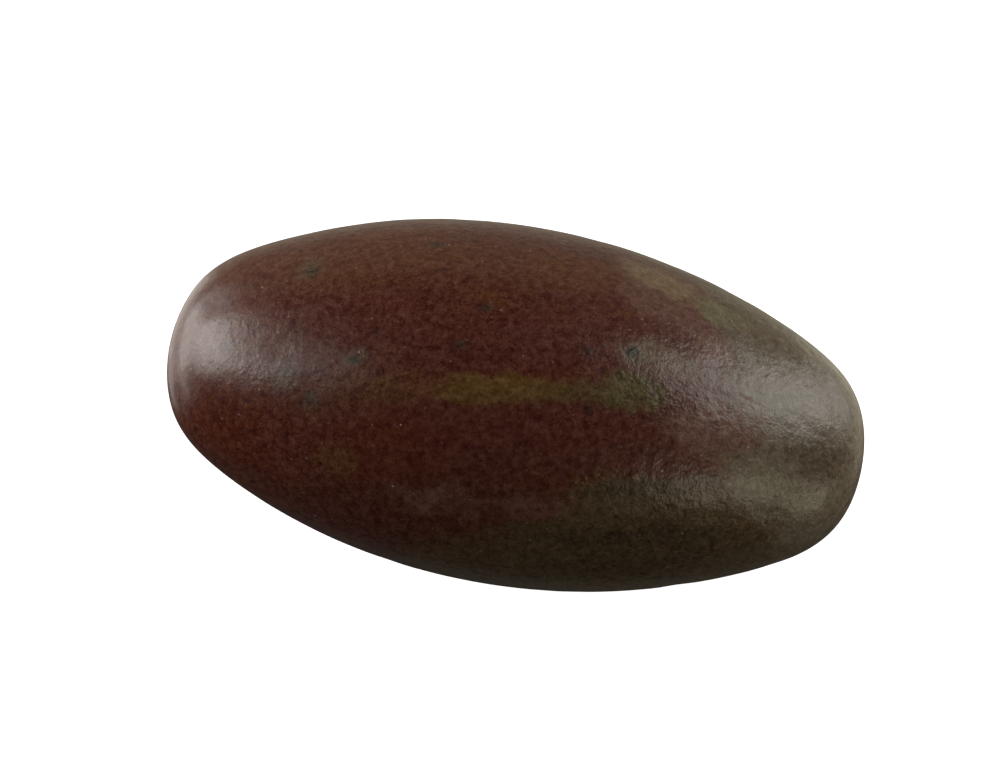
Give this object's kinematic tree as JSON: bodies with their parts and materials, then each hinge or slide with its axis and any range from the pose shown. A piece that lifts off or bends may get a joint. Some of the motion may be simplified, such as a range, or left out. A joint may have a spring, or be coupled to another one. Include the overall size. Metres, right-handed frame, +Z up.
{
  "type": "massage stone",
  "caption": "Hand-sized, egg-shaped massage stone of polished, red-brown and olive-grey banded rock, worn slightly flat underneath so that it lies still.",
  "frame": {"origin": "centre of the worn flat that the stone rests on, at the surface under it", "axes": "+X along the stone toward its slimmer, olive-grey end; +Y across it; +Z up, away from the surface it lies on"},
  "size_m": [0.09, 0.0472, 0.041],
  "materials": {
    "polished_jasper": "satin"
  },
  "bodies": {
    "root": {"stone": "polished_jasper"}
  },
  "joints": []
}
